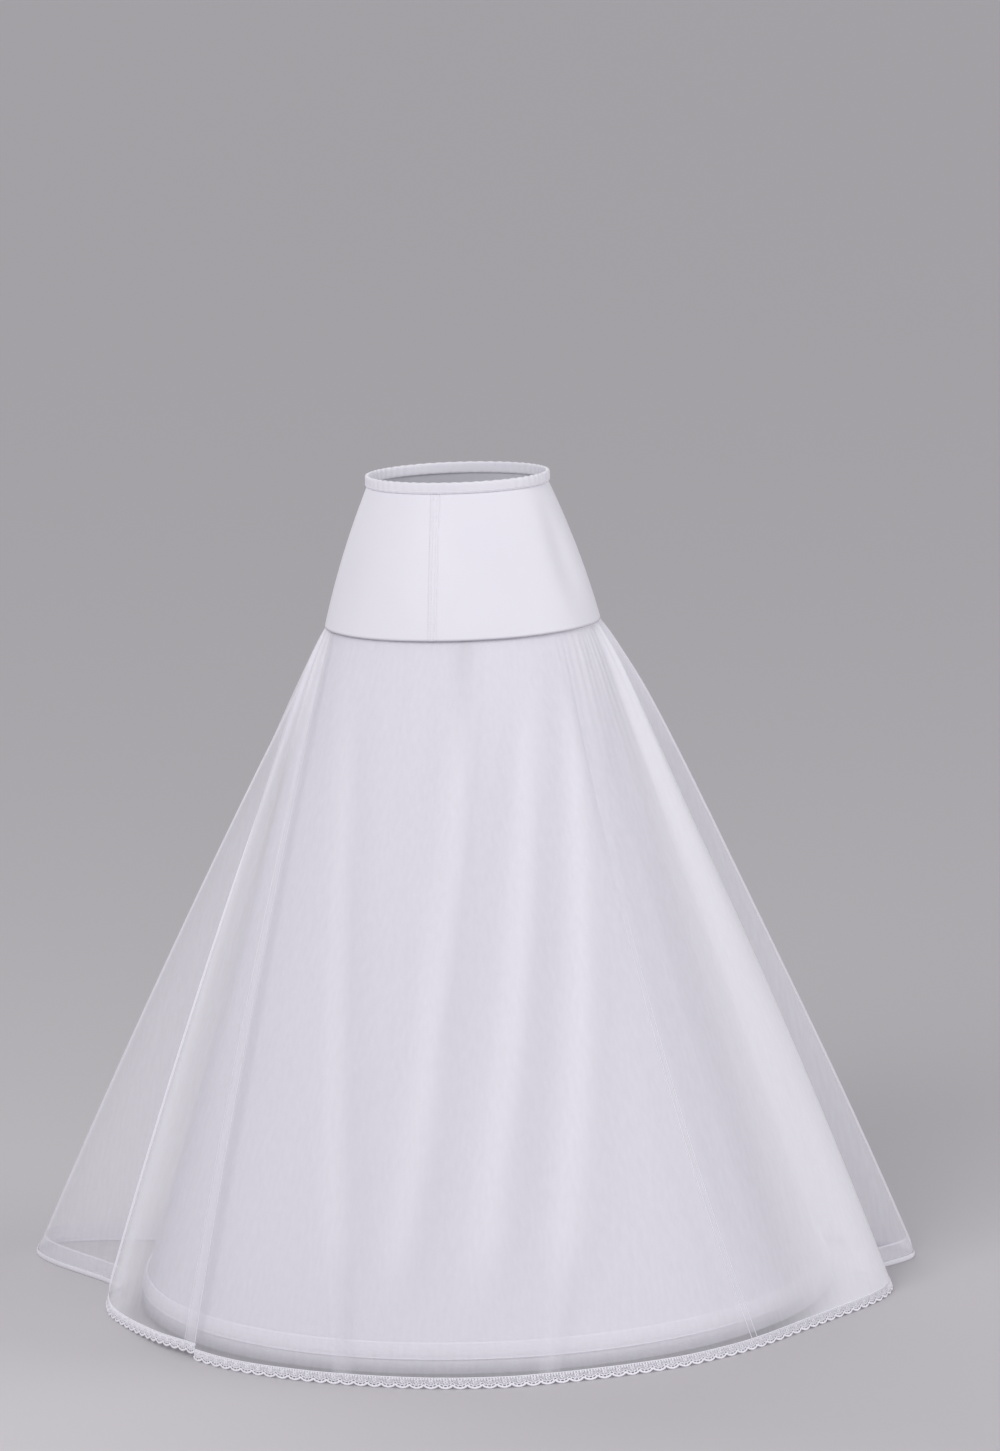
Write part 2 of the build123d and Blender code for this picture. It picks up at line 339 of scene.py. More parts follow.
def gatherAt(azimuth, fall):
    away = abs(turned(azimuth))
    side = min(max((away - gathers["start"]) / gathers["ease"], gathers["front"]), 1)
    large = pleat(away - gathers["start"], gathers["pitch"])
    large *= gathers["seat"] + (gathers["depth"] - gathers["seat"]) * swell(fall, gathers["full"])
    spot = Vector((azimuth * fineGathers["often"], *fineGathers["place"]))
    uneven = fineGathers["uneven"] * noise.noise(spot)
    fine = fineGathers["depth"] * pleat(azimuth + uneven, fineGathers["pitch"])
    fine *= swell(fall, fineGathers["full"])
    start = fineGathers["startRight"] if azimuth > 0 else fineGathers["startLeft"]
    return side * large + fine * smooth((away - start) / fineGathers["ease"])


# a line of the net is known by its azimuth at the hem; higher up the right seam's bow shifts it
def hangAzimuth(label, fall):
    bow = hump(turned(label - netCut["seamRight"]), netCut["bowSpread"])
    return label - netCut["bow"] * bow * (1 - fall ** 2)


def hemOf(azimuth, fall):
    label = azimuth
    for _ in range(5):  # undoes the bow, step by step
        label = azimuth + label - hangAzimuth(label, fall)
    return label


def netAt(label, height, inset=0):
    fall = (skirtTop - height) / skirtTop
    azimuth = hangAzimuth(label, fall)
    topAzimuth = azimuth + netCut["spread"] * math.sin(math.radians(azimuth * 2)) + netCut["turn"]
    top = ovalPoint(topAzimuth, *netCut["halves"])
    out = outward(azimuth)
    drape = 0
    for head, foot, tall, wide in drapes:
        drape += tall * hump(turned(azimuth - head - (foot - head) * fall), wide)
    full = gatherAt(topAzimuth, fall) + (netCut["bulge"] + drapeDepth * drape) * arch(fall)
    hang = noise.noise(Vector((out.x * slack["across"], out.y * slack["across"], fall * slack["down"])))
    full += slack["depth"] * hang * smooth(fall / slack["ease"]) - inset
    groove = hump(turned(label - netCut["seamRight"]), seamGroove["spread"])
    groove *= smooth(fall / seamGroove["start"]) * (1 - smooth(fall / seamGroove["end"]))
    full -= seamGroove["depth"] * groove
    return axis + top + (out * hemRadius(azimuth) - top) * fall + out * full + Vector((0, 0, height))


def netOut(label, height):
    along = netAt(label + sideStep, height) - netAt(label - sideStep, height)
    return along.cross(Vector((0, 0, 1))).normalized()


def lifted(label, lift):
    return lift * smooth((label - leftShort["start"]) / leftShort["ease"])


def hemTable(first, last, height):
    count = 400
    labels = [first + (last - first) * i / count for i in range(count + 1)]
    points = [netAt(label, height) for label in labels]
    lengths = [0]
    for a, b in zip(points, points[1:]):
        lengths.append(lengths[-1] + (b - a).length)
    return labels, lengths


def labelAlong(table, share):
    labels, lengths = table
    reach = min(max(share, 0), 1) * lengths[-1]
    k = min(max(bisect_left(lengths, reach), 1), len(lengths) - 1)
    part = (reach - lengths[k - 1]) / (lengths[k] - lengths[k - 1])
    return labels[k - 1] + (labels[k] - labels[k - 1]) * part


# scalloped lace along the front and side hems: a netted band, an open row and a corded scallop
# bars and ring places are shares of a motif; valley is the edge's height between two scallops
laceLook = {"pitch": 17.5 * mm, "header": 13 * mm, "valley": 4.8 * mm, "drop": 3.4 * mm, "bend": 0.75,
            "open": 3.2 * mm, "bars": (0.12, 0.37, 0.63, 0.88), "cord": 1.35 * mm, "thread": 0.55 * mm,
            "heavier": 1.3, "depth": 0.45 * mm, "steps": 10, "band": 5, "ring": 1.7 * mm,
            "ringHeight": 8 * mm, "ringPlace": 0.5, "ringSides": 8}


def laceStrip(node, first, last, lift):
    table = hemTable(first, last, laceTop / 2)
    motifs = round(table[1][-1] / laceLook["pitch"])
    high = laceLook["header"]
    fine = laceLook["thread"]
    heavy = fine * laceLook["heavier"]
    bm = bmesh.new()

    def place(s, h):
        label = labelAlong(table, s / motifs)
        return netAt(label, h + lifted(label, lift)), netOut(label, h)

    def thread(points, halfWidth, sides=4, ring=False):
        addThread(bm, [place(s, h) for s, h in points], halfWidth, laceLook["depth"], sides, 0, ring)

    def scallop(u):
        return laceLook["valley"] - laceLook["drop"] * abs(math.sin(math.pi * u)) ** laceLook["bend"]

    def inner(u):
        return scallop(u) + laceLook["open"]

    whole = [i / laceLook["steps"] for i in range(motifs * laceLook["steps"] + 1)]
    thread([(s, high) for s in whole[::2]], fine)  # sewn to the net
    thread([(s, scallop(s)) for s in whole], laceLook["cord"], 6)  # corded edge
    thread([(s, inner(s)) for s in whole], heavy)
    for m in range(motifs):
        for share in laceLook["bars"]:  # bars across the open row
            thread([(m + share, scallop(share)), (m + share, inner(share))], heavy)
        for k in range(laceLook["band"]):  # crossed threads of the netted band
            left, middle, right = [(k + part) / laceLook["band"] for part in (0, 0.5, 1)]
            thread([(m + left, high), (m + middle, inner(middle)), (m + right, high)], fine)
            thread([(m + left, inner(left)), (m + middle, high), (m + right, inner(right))], fine)
        ring = []
        for i in range(laceLook["ringSides"]):
            turn = 2 * math.pi * i / laceLook["ringSides"]
            along = m + laceLook["ringPlace"] + math.cos(turn) * laceLook["ring"] / laceLook["pitch"]
            ring.append((along, laceLook["ringHeight"] + math.sin(turn) * laceLook["ring"]))
        thread(ring, fine, 4, True)
    bmesh.ops.recalc_face_normals(bm, faces=bm.faces)

    def ground(u, v):  # fine net behind the threads of the band
        low = inner(u * motifs)
        return place(u * motifs, low + (high - low) * v)[0]

    addGrid(bm, ground, motifs * laceLook["steps"], 2, 1)
    piece = newPiece(node, bm, [yarn, net], False)
    settle(piece, node)
    return piece


laceFront = laceStrip("lace_front", netCut["seamLeft"], netCut["seamRight"], 0)
laceLeft = laceStrip("lace_left", netCut["valleyLeft"], netCut["seamLeft"], leftShort["lift"])
laceRight = laceStrip("lace_right", netCut["seamRight"], netCut["valleyRight"], 0)


# rolled hem of the back net
rollLook = {"halfHeight": 3.4 * mm, "halfDepth": 0.8 * mm, "steps": 420, "sides": 8}


def rolledHem():
    bm = bmesh.new()
    middle = bindingTop / 2
    table = hemTable(netCut["valleyRight"], netCut["valleyLeft"] + 360, middle)
    labels = [labelAlong(table, i / rollLook["steps"]) for i in range(rollLook["steps"] + 1)]
    path = [(netAt(label, middle), netOut(label, middle)) for label in labels]
    addThread(bm, path, rollLook["halfHeight"], rollLook["halfDepth"], rollLook["sides"])
    piece = newPiece("back_hem_binding", bm, [turnedNet], True)
    settle(piece, "back_hem_binding")
    return piece


backHem = rolledHem()


# where the net lies closer: before the right fold and the left one, in the gathers, along the front drapes;
# on the right side and the drape crests the added cover is also painted light: whiter net in place of light
# scattered through it, and of lit fold crests
# most is how much its cover grows; the rest are the azimuths and falls between which it does
bunchingAndPaintedLight = {"right": {"most": 0.42, "start": 50, "ease": 26, "end": 87, "fade": 5},
            "left": {"most": 0.3, "middle": -79, "spread": 6},
            "top": {"most": 0.36, "start": 36, "ease": 24, "end": 0.24},
            "crestHighlight": {"most": 0.26, "ease": 0.2, "end": 0.78, "fade": 0.16}}


def closenessAndLightAt(label, fall):
    right, left, top, crestHighlight = (bunchingAndPaintedLight[key] for key in ("right", "left", "top", "crestHighlight"))
    away = turned(label)
    # painted light: the cover rising toward the right fold also whitens the right side, standing in for
    # light scattered through the net
    rightFoldAndLight = smooth((away - right["start"]) / right["ease"])
    rightFoldAndLight *= 1 - smooth((away - right["end"]) / right["fade"])
    byLeft = hump(away - left["middle"], left["spread"])
    inGathers = smooth((abs(away) - top["start"]) / top["ease"]) * (1 - smooth(fall / top["end"]))
    hung = turned(hangAzimuth(label, fall))
    # painted highlight: denser, whiter net along the drape crests, where the folds would catch the light
    onCrestHighlights = sum(hump(hung - head - (foot - head) * fall, wide) for head, foot, _, wide in drapes)
    onCrestHighlights *= smooth(fall / crestHighlight["ease"]) * (1 - smooth((fall - crestHighlight["end"]) / crestHighlight["fade"]))
    return max(right["most"] * rightFoldAndLight, left["most"] * byLeft, top["most"] * inGathers,
               crestHighlight["most"] * onCrestHighlights)


# net gores, with the turnings and creases that show as denser lines down the cloth, and painted highlights
# as denser net along the front drape crests
goreLook = {"rows": 110, "column": 7 * mm, "crowd": 1.2, "sewn": 3 * mm, "under": 1.2 * mm,
            "stripColumn": 6 * mm, "stripTaper": 6, "edgeGrow": 8, "edgeEnd": 40, "seamDepth": 0.5,
            "seamSides": 6, "seamTaper": 0.8, "turnUp": 24 * mm, "rawEdge": 2 * mm}
plainSlot, turnedSlot, creasedAndLitSlot = range(3)  # a gore's materials, in this order


def netGore(node, first, last, bottom, strips, edges, seams, lift=0, turnUp=False):
    bm = bmesh.new()
    closenessAndPaintedLight = bm.verts.layers.float.new("closenessAndPaintedLight")
    table = hemTable(first, last, bottom)
    columns = round(table[1][-1] / goreLook["column"])
    rows = goreLook["rows"]
    under = goreLook["under"]

    def fallen(label, fall):
        return skirtTop + (bottom + lifted(label, lift) - skirtTop) * fall

    def columnAt(u):  # halfway between even lengths of hem and even angles
        return 0.5 * labelAlong(table, u) + 0.5 * (first + (last - first) * u)

    def hung(u, v):
        return netAt(columnAt(u), fallen(columnAt(u), v ** goreLook["crowd"]))  # closer rows in the gathers

    addGrid(bm, hung, columns, rows)
    for k, vert in enumerate(bm.verts):
        vert[closenessAndPaintedLight] = closenessAndLightAt(columnAt(k % (columns + 1) / columns), 1 - vert.co.z / skirtTop)
    for head, foot, start, end, width, slot in strips:
        def turning(u, v):
            fall = start + (end - start) * v
            label = hemOf(head + (foot - head) * fall, fall) if head != foot else head
            taper = smooth(v * goreLook["stripTaper"] if start else 1)
            taper *= smooth((1 - v) * goreLook["stripTaper"] if end < 1 else 1)
            reach = netAt(label, fallen(label, fall)) - axis
            label += math.degrees(width * taper * (u - 0.5) / math.hypot(reach.x, reach.y))
            return netAt(label, fallen(label, fall), under)

        addGrid(bm, turning, 2 + round(width / goreLook["stripColumn"]), rows, slot)
    for label, width in edges:  # pressed edge of a fold, standing out
        def pressed(u, v):
            proud = width * smooth(v * goreLook["edgeGrow"]) * smooth((1 - v) * goreLook["edgeEnd"])
            return netAt(label, fallen(label, v), -u * proud)

        addGrid(bm, pressed, 1, rows, turnedSlot)
    for label, size, start in seams:  # overlocked seam, a low ridge
        heights = [fallen(label, start + (1 - start) * k / rows) for k in range(rows + 1)]
        path = [(netAt(label, height), netOut(label, height)) for height in heights]
        addThread(bm, path, size, size * goreLook["seamDepth"], goreLook["seamSides"], turnedSlot, False,
                  goreLook["seamTaper"])
    if turnUp:  # hem turned up inside, with its raw edge sewn down
        top = goreLook["turnUp"]
        for low, high, slot in ((bottom, top, plainSlot), (top, top + goreLook["rawEdge"], turnedSlot)):
            def turnedUp(u, v):
                return netAt(labelAlong(table, u), high + (low - high) * v, under)

            addGrid(bm, turnedUp, columns, 2, slot)
    piece = newPiece(node, bm, [net, turnedNet, creasedAndLitNet], False)
    settle(piece, node)
    return piece


# strips lie just inside: azimuth at the head and foot, falls where they start and end, width, slot
crestHighlightFalls = [(0.25, 1), (0, 0.6), (0.1, 0.8), (0.3, 1)]  # one pair for each drape
# the front strips paint highlights along the drape crests: denser net where the folds would catch the light
frontCrestHighlights = []
for width in (26 * mm, 11 * mm):  # each crest's painted highlight, with a denser middle
    for (head, foot, _, _), (start, end) in zip(drapes, crestHighlightFalls):
        frontCrestHighlights.append((head, foot, start, end, width, creasedAndLitSlot))
leftStrips = [(-50.6, -50.6, 0, 1, 22 * mm, plainSlot), (-66, -74, 0.25, 1, 16 * mm, creasedAndLitSlot)]
rightStrips = [(56, 56, 0.25, 0.9, 12 * mm, creasedAndLitSlot), (66, 66, 0.2, 1, 14 * mm, creasedAndLitSlot)]
# pressed edges: azimuth, width
leftEdges = [(-87.5, 3 * mm)]
backEdges = [(103.5, 3 * mm), (245, 3 * mm)]
# seam ridges: azimuth, half width, fall where they start
frontSeams = [(47.9, 0.55 * mm, 0.36)]
leftSeams = [(-52, 0.45 * mm, 0.12), (-49.2, 0.6 * mm, 0.12)]
rightSeams = [(49.1, 0.55 * mm, 0.36)]

sideBottom = laceTop - goreLook["sewn"]
backBottom = bindingTop - goreLook["sewn"]
netFront = netGore("net_front_gore", netCut["seamLeft"], netCut["seamRight"], sideBottom, frontCrestHighlights, [],
                   frontSeams)
netLeft = netGore("net_left_gore", netCut["valleyLeft"], netCut["seamLeft"], sideBottom, leftStrips,
                  leftEdges, leftSeams, leftShort["lift"])
netRight = netGore("net_right_gore", netCut["seamRight"], netCut["valleyRight"], sideBottom, rightStrips, [],
                   rightSeams)
netBack = netGore("net_back_gore", netCut["valleyRight"], netCut["valleyLeft"] + 360, backBottom, [],
                  backEdges, [], 0, True)


# lining gores, hung past the hoop to just above the lace, with a small lip turned in at the bottom
liningLook = {"halves": (161.5 * mm, 143.6 * mm), "seam": 47, "columns": 44, "rows": 40, "lipRows": 2,
              "lip": 1 * mm, "lipRise": 0.3 * mm, "ripple": 1.2 * mm, "across": 4, "down": 2, "start": 0.25,
              "end": 0.93, "steep": 6}
liningBottom = liningLow.z
liningRadius = (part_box("lining_right_gore")[1].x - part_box("lining_left_gore")[0].x) / 2


def liningAt(azimuth, height, inset=0):
    fall = (skirtTop - height) / (skirtTop - liningBottom)
    top = ovalPoint(azimuth, *liningLook["halves"])
    out = outward(azimuth)
    across = liningLook["across"]
    ripple = noise.noise(Vector((out.x * across, out.y * across, fall * liningLook["down"])))
    ripple *= liningLook["ripple"] * smooth(fall / liningLook["start"])
    ripple *= smooth((liningLook["end"] - fall) * liningLook["steep"])
    return axis + top + (out * liningRadius - top) * fall + out * (ripple - inset) + Vector((0, 0, height))


def liningGore(node, first, last):
    bm = bmesh.new()
    rows, lipRows = liningLook["rows"], liningLook["lipRows"]

    def hung(u, v):
        row = v * (rows + lipRows)
        height = skirtTop + (liningBottom - skirtTop) * min(row / rows, 1)
        lip = max(row - rows, 0)
        inset = lip * liningLook["lip"] / lipRows
        return liningAt(first + (last - first) * u, height + lip * liningLook["lipRise"], inset)

    addGrid(bm, hung, liningLook["columns"], rows + lipRows)
    piece = newPiece(node, bm, [taffeta], False)
    settle(piece, node)


seam = liningLook["seam"]
liningGore("lining_front_gore", -seam, seam)
liningGore("lining_left_gore", seam - 180, -seam)
liningGore("lining_right_gore", seam, 180 - seam)
liningGore("lining_back_gore", 180 - seam, 180 + seam)


# channel tape sewn outside the lining, with a folded edge above and below, drawn in the whiter yarn as a
# painted highlight along each fold
# swells are shares of the tunnel's half height and of the belly
# edges are shares of the tape's half height, each with its size
channelLook = {"half": 10 * mm, "back": -2.75 * mm, "front": -0.75 * mm, "tunnel": 4.95 * mm, "lean": 18.0,
               "belly": 1.3 * mm, "overSleeve": 2.4 * mm, "sleeveHalf": 4, "sleeveEase": 3, "columns": 240,
               "weld": 0.01 * mm, "turnIn": 0.4 * mm, "flat": 0.97,
               "swells": ((1.15, 0.6), (0.8, 0.9), (0.4, 1), (0, 1)),
               "edges": ((0.9, 1.6 * mm), (-0.92, 1 * mm)), "edgeDepth": 0.8, "edgeSides": 8,
               "stitch": 5 * mm, "stitchUp": 0.78, "stitchRise": 0.1, "stitchProud": 0.1 * mm,
               "stitchHalves": (0.45 * mm, 0.35 * mm)}
channelMiddle = (channelLow.z + channelHigh.z) / 2
sleeveMiddle = sum(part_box("hoop_sleeve"), Vector()) / 2 - axis
sleeveAzimuth = math.degrees(math.atan2(sleeveMiddle.x, -sleeveMiddle.y))


def bellyAt(azimuth):  # the tape swells over the sleeve that joins the spring
    past = abs(turned(azimuth - sleeveAzimuth)) - channelLook["sleeveHalf"]
    share = 1 - smooth(past / channelLook["sleeveEase"])
    return channelLook["belly"] + (channelLook["overSleeve"] - channelLook["belly"]) * share


def channelAt(azimuth, up, across):
    lean = math.radians(channelLook["lean"])
    reach = hoopRadius - up * math.sin(lean) + across * math.cos(lean)
    height = channelMiddle + up * math.cos(lean) + across * math.sin(lean)
    return axis + outward(azimuth) * reach + Vector((0, 0, height))


def channelTape():
    bm = bmesh.new()
    half, back, front, tunnel = (channelLook[key] for key in ("half", "back", "front", "tunnel"))
    columns, stitchRise = channelLook["columns"], channelLook["stitchRise"]

    def profileAt(azimuth):
        belly = bellyAt(azimuth)
        face = [(half, front - channelLook["turnIn"]), (half * channelLook["flat"], front)]
        face.append((half * channelLook["stitchUp"], belly * stitchRise))
        face += [(tunnel * up, belly * across) for up, across in channelLook["swells"]]
        return [(half, back)] + face + [(-up, across) for up, across in face[-2::-1]] + [(-half, back)]

    count = len(profileAt(0))
    addGrid(bm, lambda u, v: channelAt(360 * u, *profileAt(360 * u)[round(v * count) % count]), columns,
            count, 0, True)
    bmesh.ops.remove_doubles(bm, verts=bm.verts, dist=channelLook["weld"])
    turns = [360 * k / columns for k in range(columns)]
    for up, size in channelLook["edges"]:  # folded edges, in the whiter yarn: a painted highlight along each fold
        path = [(channelAt(a, half * up, front), outward(a)) for a in turns]
        addThread(bm, path, size, size * channelLook["edgeDepth"], channelLook["edgeSides"], 1, True)
    number = round(2 * math.pi * hoopRadius / channelLook["stitch"])
    for side in (1, -1):
        up = side * half * channelLook["stitchUp"]
        for k in range(number):
            path = []
            for share in stitchShares:
                azimuth = 360 * (k + share) / number
                across = bellyAt(azimuth) * stitchRise + channelLook["stitchProud"]
                path.append((channelAt(azimuth, up, across), outward(azimuth)))
            addThread(bm, path, *channelLook["stitchHalves"], sides=4, slot=1)
    piece = newPiece("hoop_channel", bm, [tape, yarn], True)
    settle(piece, "hoop_channel")


channelTape()


# hip yoke: two smooth stretch panels, the front seam turned to the left and stitched down
panelLook = {"columns": 150, "rows": 56, "crowd": 0.86, "lipRows": 2, "lip": 1 * mm, "lipRise": 0.2 * mm,
             "turned": 9 * mm, "ridge": 0.5 * mm, "ridgeEase": 1.5 * mm, "groove": 0.7 * mm,
             "grooveSpread": 1.1 * mm, "stitchRows": (2.2 * mm, 5.2 * mm, 8.2 * mm), "stitch": 3.6 * mm,
             "stitchProud": 0.1 * mm, "stitchHalves": (0.42 * mm, 0.3 * mm)}
creases = [(60, 0.5, 9, 0.34, -4 * mm), (76, 0.7, 8, 0.3, 1.5 * mm), (40, 0.85, 10, 0.2, -1 * mm),
           (-58, 0.8, 10, 0.25, -1.2 * mm)]  # azimuth, fall, spreads across and down, depth


def yokeAt(azimuth, height, proud=0):
    fall = (yokeHigh.z - height) / (yokeHigh.z - yokeLow.z)
    full = yokeCut["round"] * arch(fall) + proud
    for centre, level, wide, tall, depth in creases:
        full += depth * hump(turned(azimuth - centre), wide) * hump(fall - level, tall)
    halves = [w + (h - w) * fall + full for w, h in zip(yokeCut["waist"], yokeCut["hip"])]
    fromSeam = math.radians(turned(azimuth - yokeCut["seam"])) * halves[0]
    rise = -panelLook["groove"] * hump(fromSeam, panelLook["grooveSpread"])
    if -panelLook["turned"] < fromSeam < 0:  # doubled cloth beside the front seam
        rise += panelLook["ridge"] * smooth((fromSeam + panelLook["turned"]) / panelLook["ridgeEase"])
    return axis + ovalPoint(azimuth, halves[0] + rise, halves[1] + rise) + Vector((0, 0, height))


def yokePanel(node, first, last, stitched):
    bm = bmesh.new()
    rows, lipRows = panelLook["rows"], panelLook["lipRows"]

    def face(u, v):
        u -= panelLook["crowd"] * math.sin(2 * math.pi * u) / (2 * math.pi)  # closer columns at the seams
        row = v * (rows + lipRows)
        height = yokeHigh.z + (yokeLow.z - yokeHigh.z) * min(row / rows, 1)
        lip = max(row - rows, 0)
        inset = lip * panelLook["lip"] / lipRows
        return yokeAt(first + (last - first) * u, height + lip * panelLook["lipRise"], -inset)

    addGrid(bm, face, panelLook["columns"], rows + lipRows)
    count = int((yokeHigh.z - yokeLow.z) / panelLook["stitch"])
    for back in panelLook["stitchRows"] if stitched else ():
        for k in range(count):
            path = []
            for share in stitchShares:
                height = yokeHigh.z - (k + share) * panelLook["stitch"]
                reach = yokeAt(last, height) - axis
                azimuth = last - math.degrees(back / math.hypot(reach.x, reach.y))
                path.append((yokeAt(azimuth, height, panelLook["stitchProud"]), outward(azimuth)))
            addThread(bm, path, *panelLook["stitchHalves"], sides=4, slot=1)
    piece = newPiece(node, bm, [satin, yarn], False)
    settle(piece, node)


yokePanel("yoke_left_panel", yokeCut["seam"] - 180, yokeCut["seam"], True)
yokePanel("yoke_right_panel", yokeCut["seam"], yokeCut["seam"] + 180, False)


# waist casing: a strip folded over the elastic, which puckers it
# meets is where the strip's two edges come together at the bottom, on the yoke
casingLook = {"halves": (110.5 * mm, 94.5 * mm), "halfHeight": 7 * mm, "halfDepth": 2.2 * mm, "columns": 372,
              "rows": 22, "meets": -84, "squareAcross": 0.6, "squareUp": 0.5, "puckers": 62, "pull": 0.16,
              "uneven": 0.2, "often": 0.11, "place": (3.1, 0.7), "waver": 0.35 * mm, "lag": 0.8, "calm": 0.4,
              "stitch": 3.4 * mm, "stitchTurn": -18, "stitchProud": 0.1 * mm,
              "stitchHalves": (0.4 * mm, 0.3 * mm)}
casingMiddle = (casingLow.z + casingHigh.z) / 2


def casingAt(azimuth, turn):
    pucker = math.radians(azimuth * casingLook["puckers"])
    uneven = noise.noise(Vector((azimuth * casingLook["often"], *casingLook["place"])))
    depth = 1 + casingLook["pull"] * math.sin(pucker) + casingLook["uneven"] * uneven
    depth *= casingLook["halfDepth"]
    c, s = math.cos(turn), math.sin(turn)
    across = depth * math.copysign(abs(c) ** casingLook["squareAcross"], c)
    up = casingLook["halfHeight"] * math.copysign(abs(s) ** casingLook["squareUp"], s)
    up += casingLook["waver"] * math.sin(pucker + casingLook["lag"]) * (1 if s > 0 else casingLook["calm"])
    point = ovalPoint(azimuth, casingLook["halves"][0] + across, casingLook["halves"][1] + across)
    return axis + point + Vector((0, 0, casingMiddle + up))


def waistCasing():
    bm = bmesh.new()
    lowest = math.radians(casingLook["meets"])
    around = math.pi - 2 * lowest
    addGrid(bm, lambda u, v: casingAt(360 * u, math.pi - lowest - v * around), casingLook["columns"],
            casingLook["rows"], 0, True)
    turn = math.radians(casingLook["stitchTurn"])
    number = round(2 * math.pi * casingLook["halves"][0] / casingLook["stitch"])
    for k in range(number):
        path = []
        for share in stitchShares:
            azimuth = 360 * (k + share) / number
            out = outward(azimuth)
            path.append((casingAt(azimuth, turn) + out * casingLook["stitchProud"], out))
        addThread(bm, path, *casingLook["stitchHalves"], sides=4, slot=1)
    piece = newPiece("waist_casing", bm, [satin, yarn], False)
    settle(piece, "waist_casing")


waistCasing()


# pieces that stay as the solids have them, inside their casing and channel
def dressNode(name, material):
    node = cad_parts[name]
    node.data.materials.clear()
    node.data.materials.append(material)


# spring steel in a moulded nylon coat: smooth, milky, a little glossy
springLook = {"colour": "#E6E6E4", "speckle": 4 * mm}


def coatedSpring():
    material, tree = newMaterial("nylon_coated_spring_steel")
    place = addNode(tree, "ShaderNodeTexCoord", {}, {}).outputs["Object"]
    speckle = addNode(tree, "ShaderNodeTexNoise", {"Scale": 1 / springLook["speckle"], "Detail": 2},
                      {"Vector": place})
    gloss = addNode(tree, "ShaderNodeMapRange", {"To Min": 0.3, "To Max": 0.45},
                    {"Value": speckle.outputs["Fac"]})
    body = addNode(tree, "ShaderNodeBsdfPrincipled", {"Base Color": linear(springLook["colour"])},
                   {"Roughness": gloss.outputs[0]})
    addNode(tree, "ShaderNodeOutputMaterial", {}, {"Surface": body.outputs[0]})
    return material


# rubber-cored woven elastic: ribs along its length, matt
elasticLook = {"colour": "#E8E7EA", "shade": "#C9C8CE", "rib": 1.6 * mm}


def wovenElastic():
    material, tree = newMaterial("woven_rubber_elastic")
    place = addNode(tree, "ShaderNodeTexCoord", {}, {}).outputs["Object"]
    ribs = addNode(tree, "ShaderNodeTexWave",
                   {"bands_direction": "Z", "Scale": waveScale(elasticLook["rib"])}, {"Vector": place})
    tint = addNode(tree, "ShaderNodeMix", {"data_type": "RGBA", 6: linear(elasticLook["shade"]),
                                           7: linear(elasticLook["colour"])}, {0: ribs.outputs["Fac"]})
    body = addNode(tree, "ShaderNodeBsdfPrincipled", {"Roughness": 0.85}, {"Base Color": tint.outputs[2]})
    addNode(tree, "ShaderNodeOutputMaterial", {}, {"Surface": body.outputs[0]})
    return material


# pressed steel sleeve: dull sheet metal with rolling marks
crimpLook = {"colour": "#B9BABD", "grain": 0.6 * mm}


def pressedSleeve():
    material, tree = newMaterial("pressed_sheet_steel")
    place = addNode(tree, "ShaderNodeTexCoord", {}, {}).outputs["Object"]
    marks = addNode(tree, "ShaderNodeTexNoise", {"Scale": 1 / crimpLook["grain"], "Detail": 2},
                    {"Vector": place})
    gloss = addNode(tree, "ShaderNodeMapRange", {"To Min": 0.35, "To Max": 0.55},
                    {"Value": marks.outputs["Fac"]})
    body = addNode(tree, "ShaderNodeBsdfPrincipled",
                   {"Base Color": linear(crimpLook["colour"]), "Metallic": 1},
                   {"Roughness": gloss.outputs[0]})
    addNode(tree, "ShaderNodeOutputMaterial", {}, {"Surface": body.outputs[0]})
    return material


dressNode("hoop_bone", coatedSpring())
dressNode("waist_elastic", wovenElastic())
dressNode("hoop_sleeve", pressedSleeve())
print("inner pieces dressed")


# plain pale floor of uncoated paper, rolled out flat: matt and even, seen from every side
floorLook = {"colour": "#C6C3C7", "half": 60, "cloud": 1000 / 3 * mm}


def studioFloor():
    bm = bmesh.new()
    half = floorLook["half"]
    addGrid(bm, lambda u, v: Vector((half * (2 * u - 1), half * (1 - 2 * v), 0)), 2, 2)
    material, tree = newMaterial("matt_paper_floor")
    place = addNode(tree, "ShaderNodeTexCoord", {}, {}).outputs["Object"]
    cloud = addNode(tree, "ShaderNodeTexNoise", {"Scale": 1 / floorLook["cloud"], "Detail": 3},
                    {"Vector": place})
    grain = addNode(tree, "ShaderNodeBump", {"Strength": 0.02, "Distance": 1 * mm},
                    {"Height": cloud.outputs["Fac"]})
    paper = addNode(tree, "ShaderNodeBsdfPrincipled",
                    {"Base Color": linear(floorLook["colour"]), "Roughness": 0.9, "Specular IOR Level": 0.1},
                    {"Normal": grain.outputs["Normal"]})
    addNode(tree, "ShaderNodeOutputMaterial", {}, {"Surface": paper.outputs[0]})
    newPiece("studio_floor", bm, [material], False)


studioFloor()

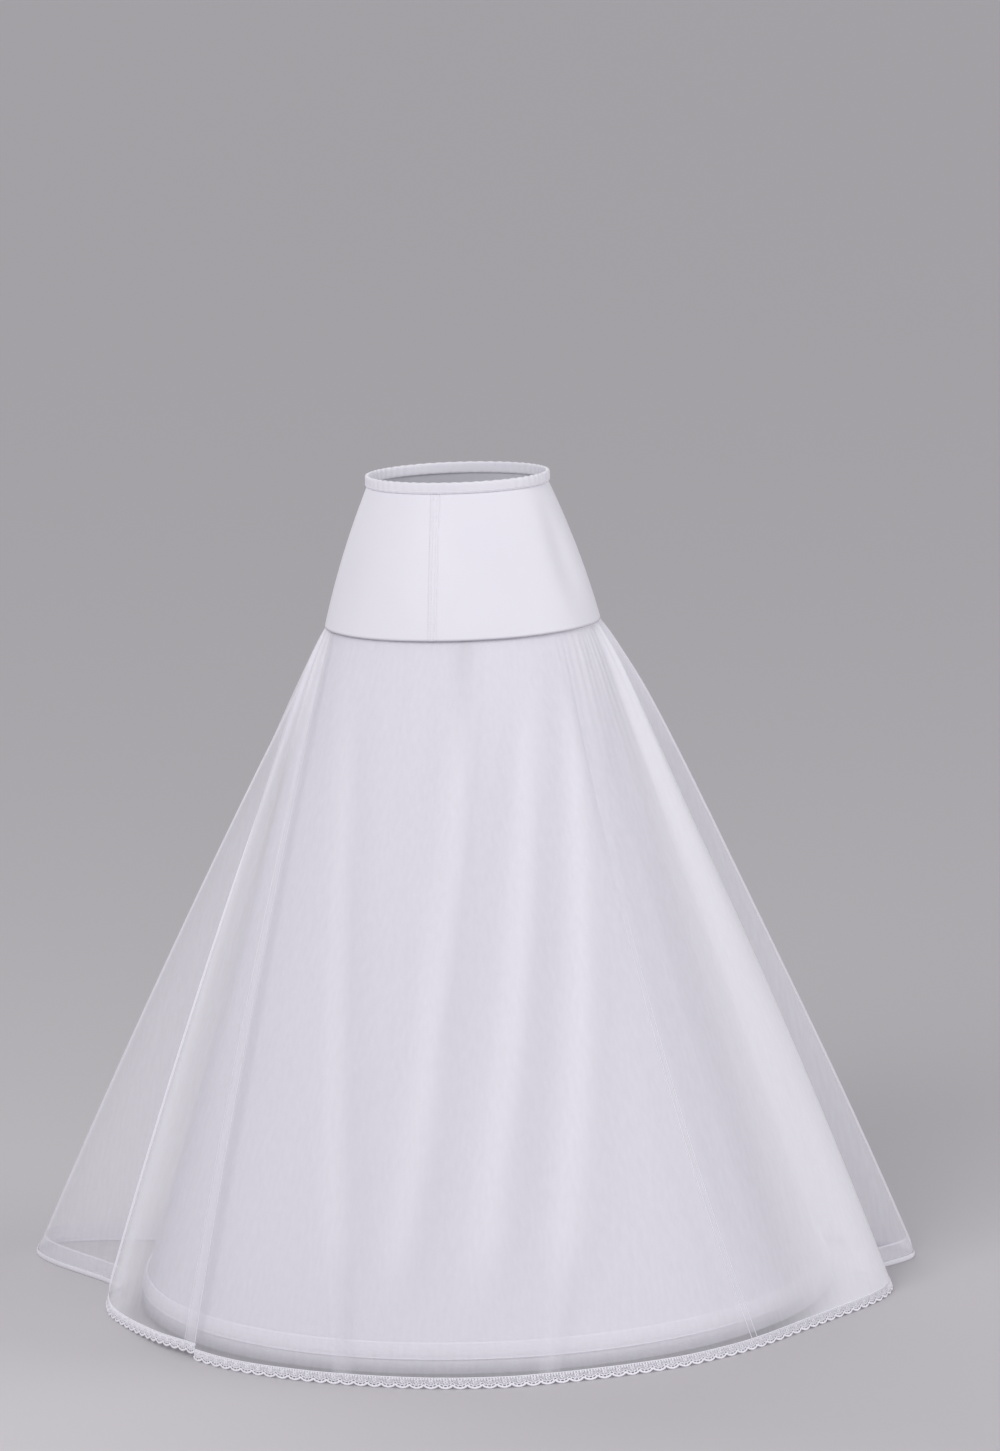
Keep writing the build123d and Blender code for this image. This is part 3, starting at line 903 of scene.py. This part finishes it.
# soft studio light: a large key from the upper left, and wide even light from the right and behind
lamps = {"key": {"kind": "AREA", "place": (-1.8, -3.8, 3.4), "energy": 136, "size": 2.6},
         "side": {"kind": "SUN", "place": (4.7, -0.8, 1.5), "energy": 1.44, "angle": math.radians(40)},
         "behind": {"kind": "SUN", "place": (-1.6, 4.6, 3.2), "energy": 0.82, "angle": math.radians(60)}}
lampAim = Vector((0, 0, 0.55))
roomLook = {"colour": "#F4F3F6", "strength": 0.432}
for name, lamp in lamps.items():
    light = bpy.data.lights.new(name, lamp["kind"])
    light.energy = lamp["energy"]
    if lamp["kind"] == "AREA":
        light.size = lamp["size"]
    else:
        light.angle = lamp["angle"]
    holder = bpy.data.objects.new(name, light)
    holder.location = lamp["place"]
    holder.rotation_euler = (lampAim - holder.location).to_track_quat("-Z", "Y").to_euler()
    holder.visible_camera = False
    scene.collection.objects.link(holder)
world = bpy.data.worlds.new("soft_room")
world.use_nodes = True
background = world.node_tree.nodes["Background"]
background.inputs["Color"].default_value = linear(roomLook["colour"])
background.inputs["Strength"].default_value = roomLook["strength"]
scene.world = world
scene.view_settings.view_transform = "Standard"

# camera at the photograph's angle, placed from the waist's axis; focus and tall are in its pixels
view = {"right": 0.434, "back": 8.0, "up": 2.101, "pitch": 9.82, "yaw": -2.81, "roll": -2.04, "focus": 6618,
        "tall": 1451, "sensor": 36}
pitch, yaw, roll = (math.radians(view[key]) for key in ("pitch", "yaw", "roll"))
ahead = Vector((math.sin(yaw) * math.cos(pitch), math.cos(yaw) * math.cos(pitch), -math.sin(pitch)))
level = Vector((math.cos(yaw), -math.sin(yaw), 0))
above = level.cross(ahead)
right = level * math.cos(roll) + above * math.sin(roll)
up = above * math.cos(roll) - level * math.sin(roll)
camera = bpy.data.objects.new("camera", bpy.data.cameras.new("camera"))
camera.data.sensor_width = view["sensor"]
camera.data.lens = view["focus"] * view["sensor"] / view["tall"]
eye = axis + Vector((view["right"], -view["back"], view["up"]))
camera.matrix_world = Matrix.Translation(eye) @ Matrix((right, up, -ahead)).transposed().to_4x4()
scene.collection.objects.link(camera)
scene.camera = camera
print("stage, lamps and camera placed")
